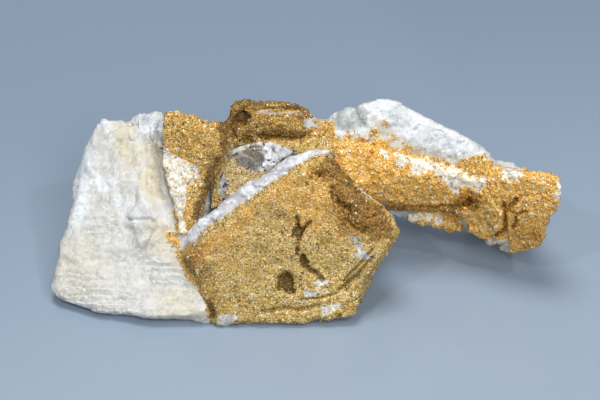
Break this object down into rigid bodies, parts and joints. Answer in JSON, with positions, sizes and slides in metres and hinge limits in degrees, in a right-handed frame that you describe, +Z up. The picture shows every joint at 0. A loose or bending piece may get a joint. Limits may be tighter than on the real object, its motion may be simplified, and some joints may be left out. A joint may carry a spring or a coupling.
{
  "type": "siderite on quartz specimen",
  "caption": "Loose hand specimen of milky quartz with an arm to one side, coated by golden-brown siderite crystals, with a clear quartz crystal in its pocket.",
  "frame": {"origin": "middle of the box in plan, at the level of the base that it rests on", "axes": "+X along the length towards the arm's tip, +Z up, the crusted show side faces -Y"},
  "size_m": [0.093, 0.035, 0.0319],
  "materials": {
    "milky_quartz": "dull broken white quartz, opaque",
    "siderite": null,
    "clear_quartz": "clear, slightly smoky"
  },
  "bodies": {
    "root": {"quartz_matrix": "milky_quartz", "siderite_crust": "siderite", "clear_quartz": "clear_quartz"}
  },
  "joints": []
}
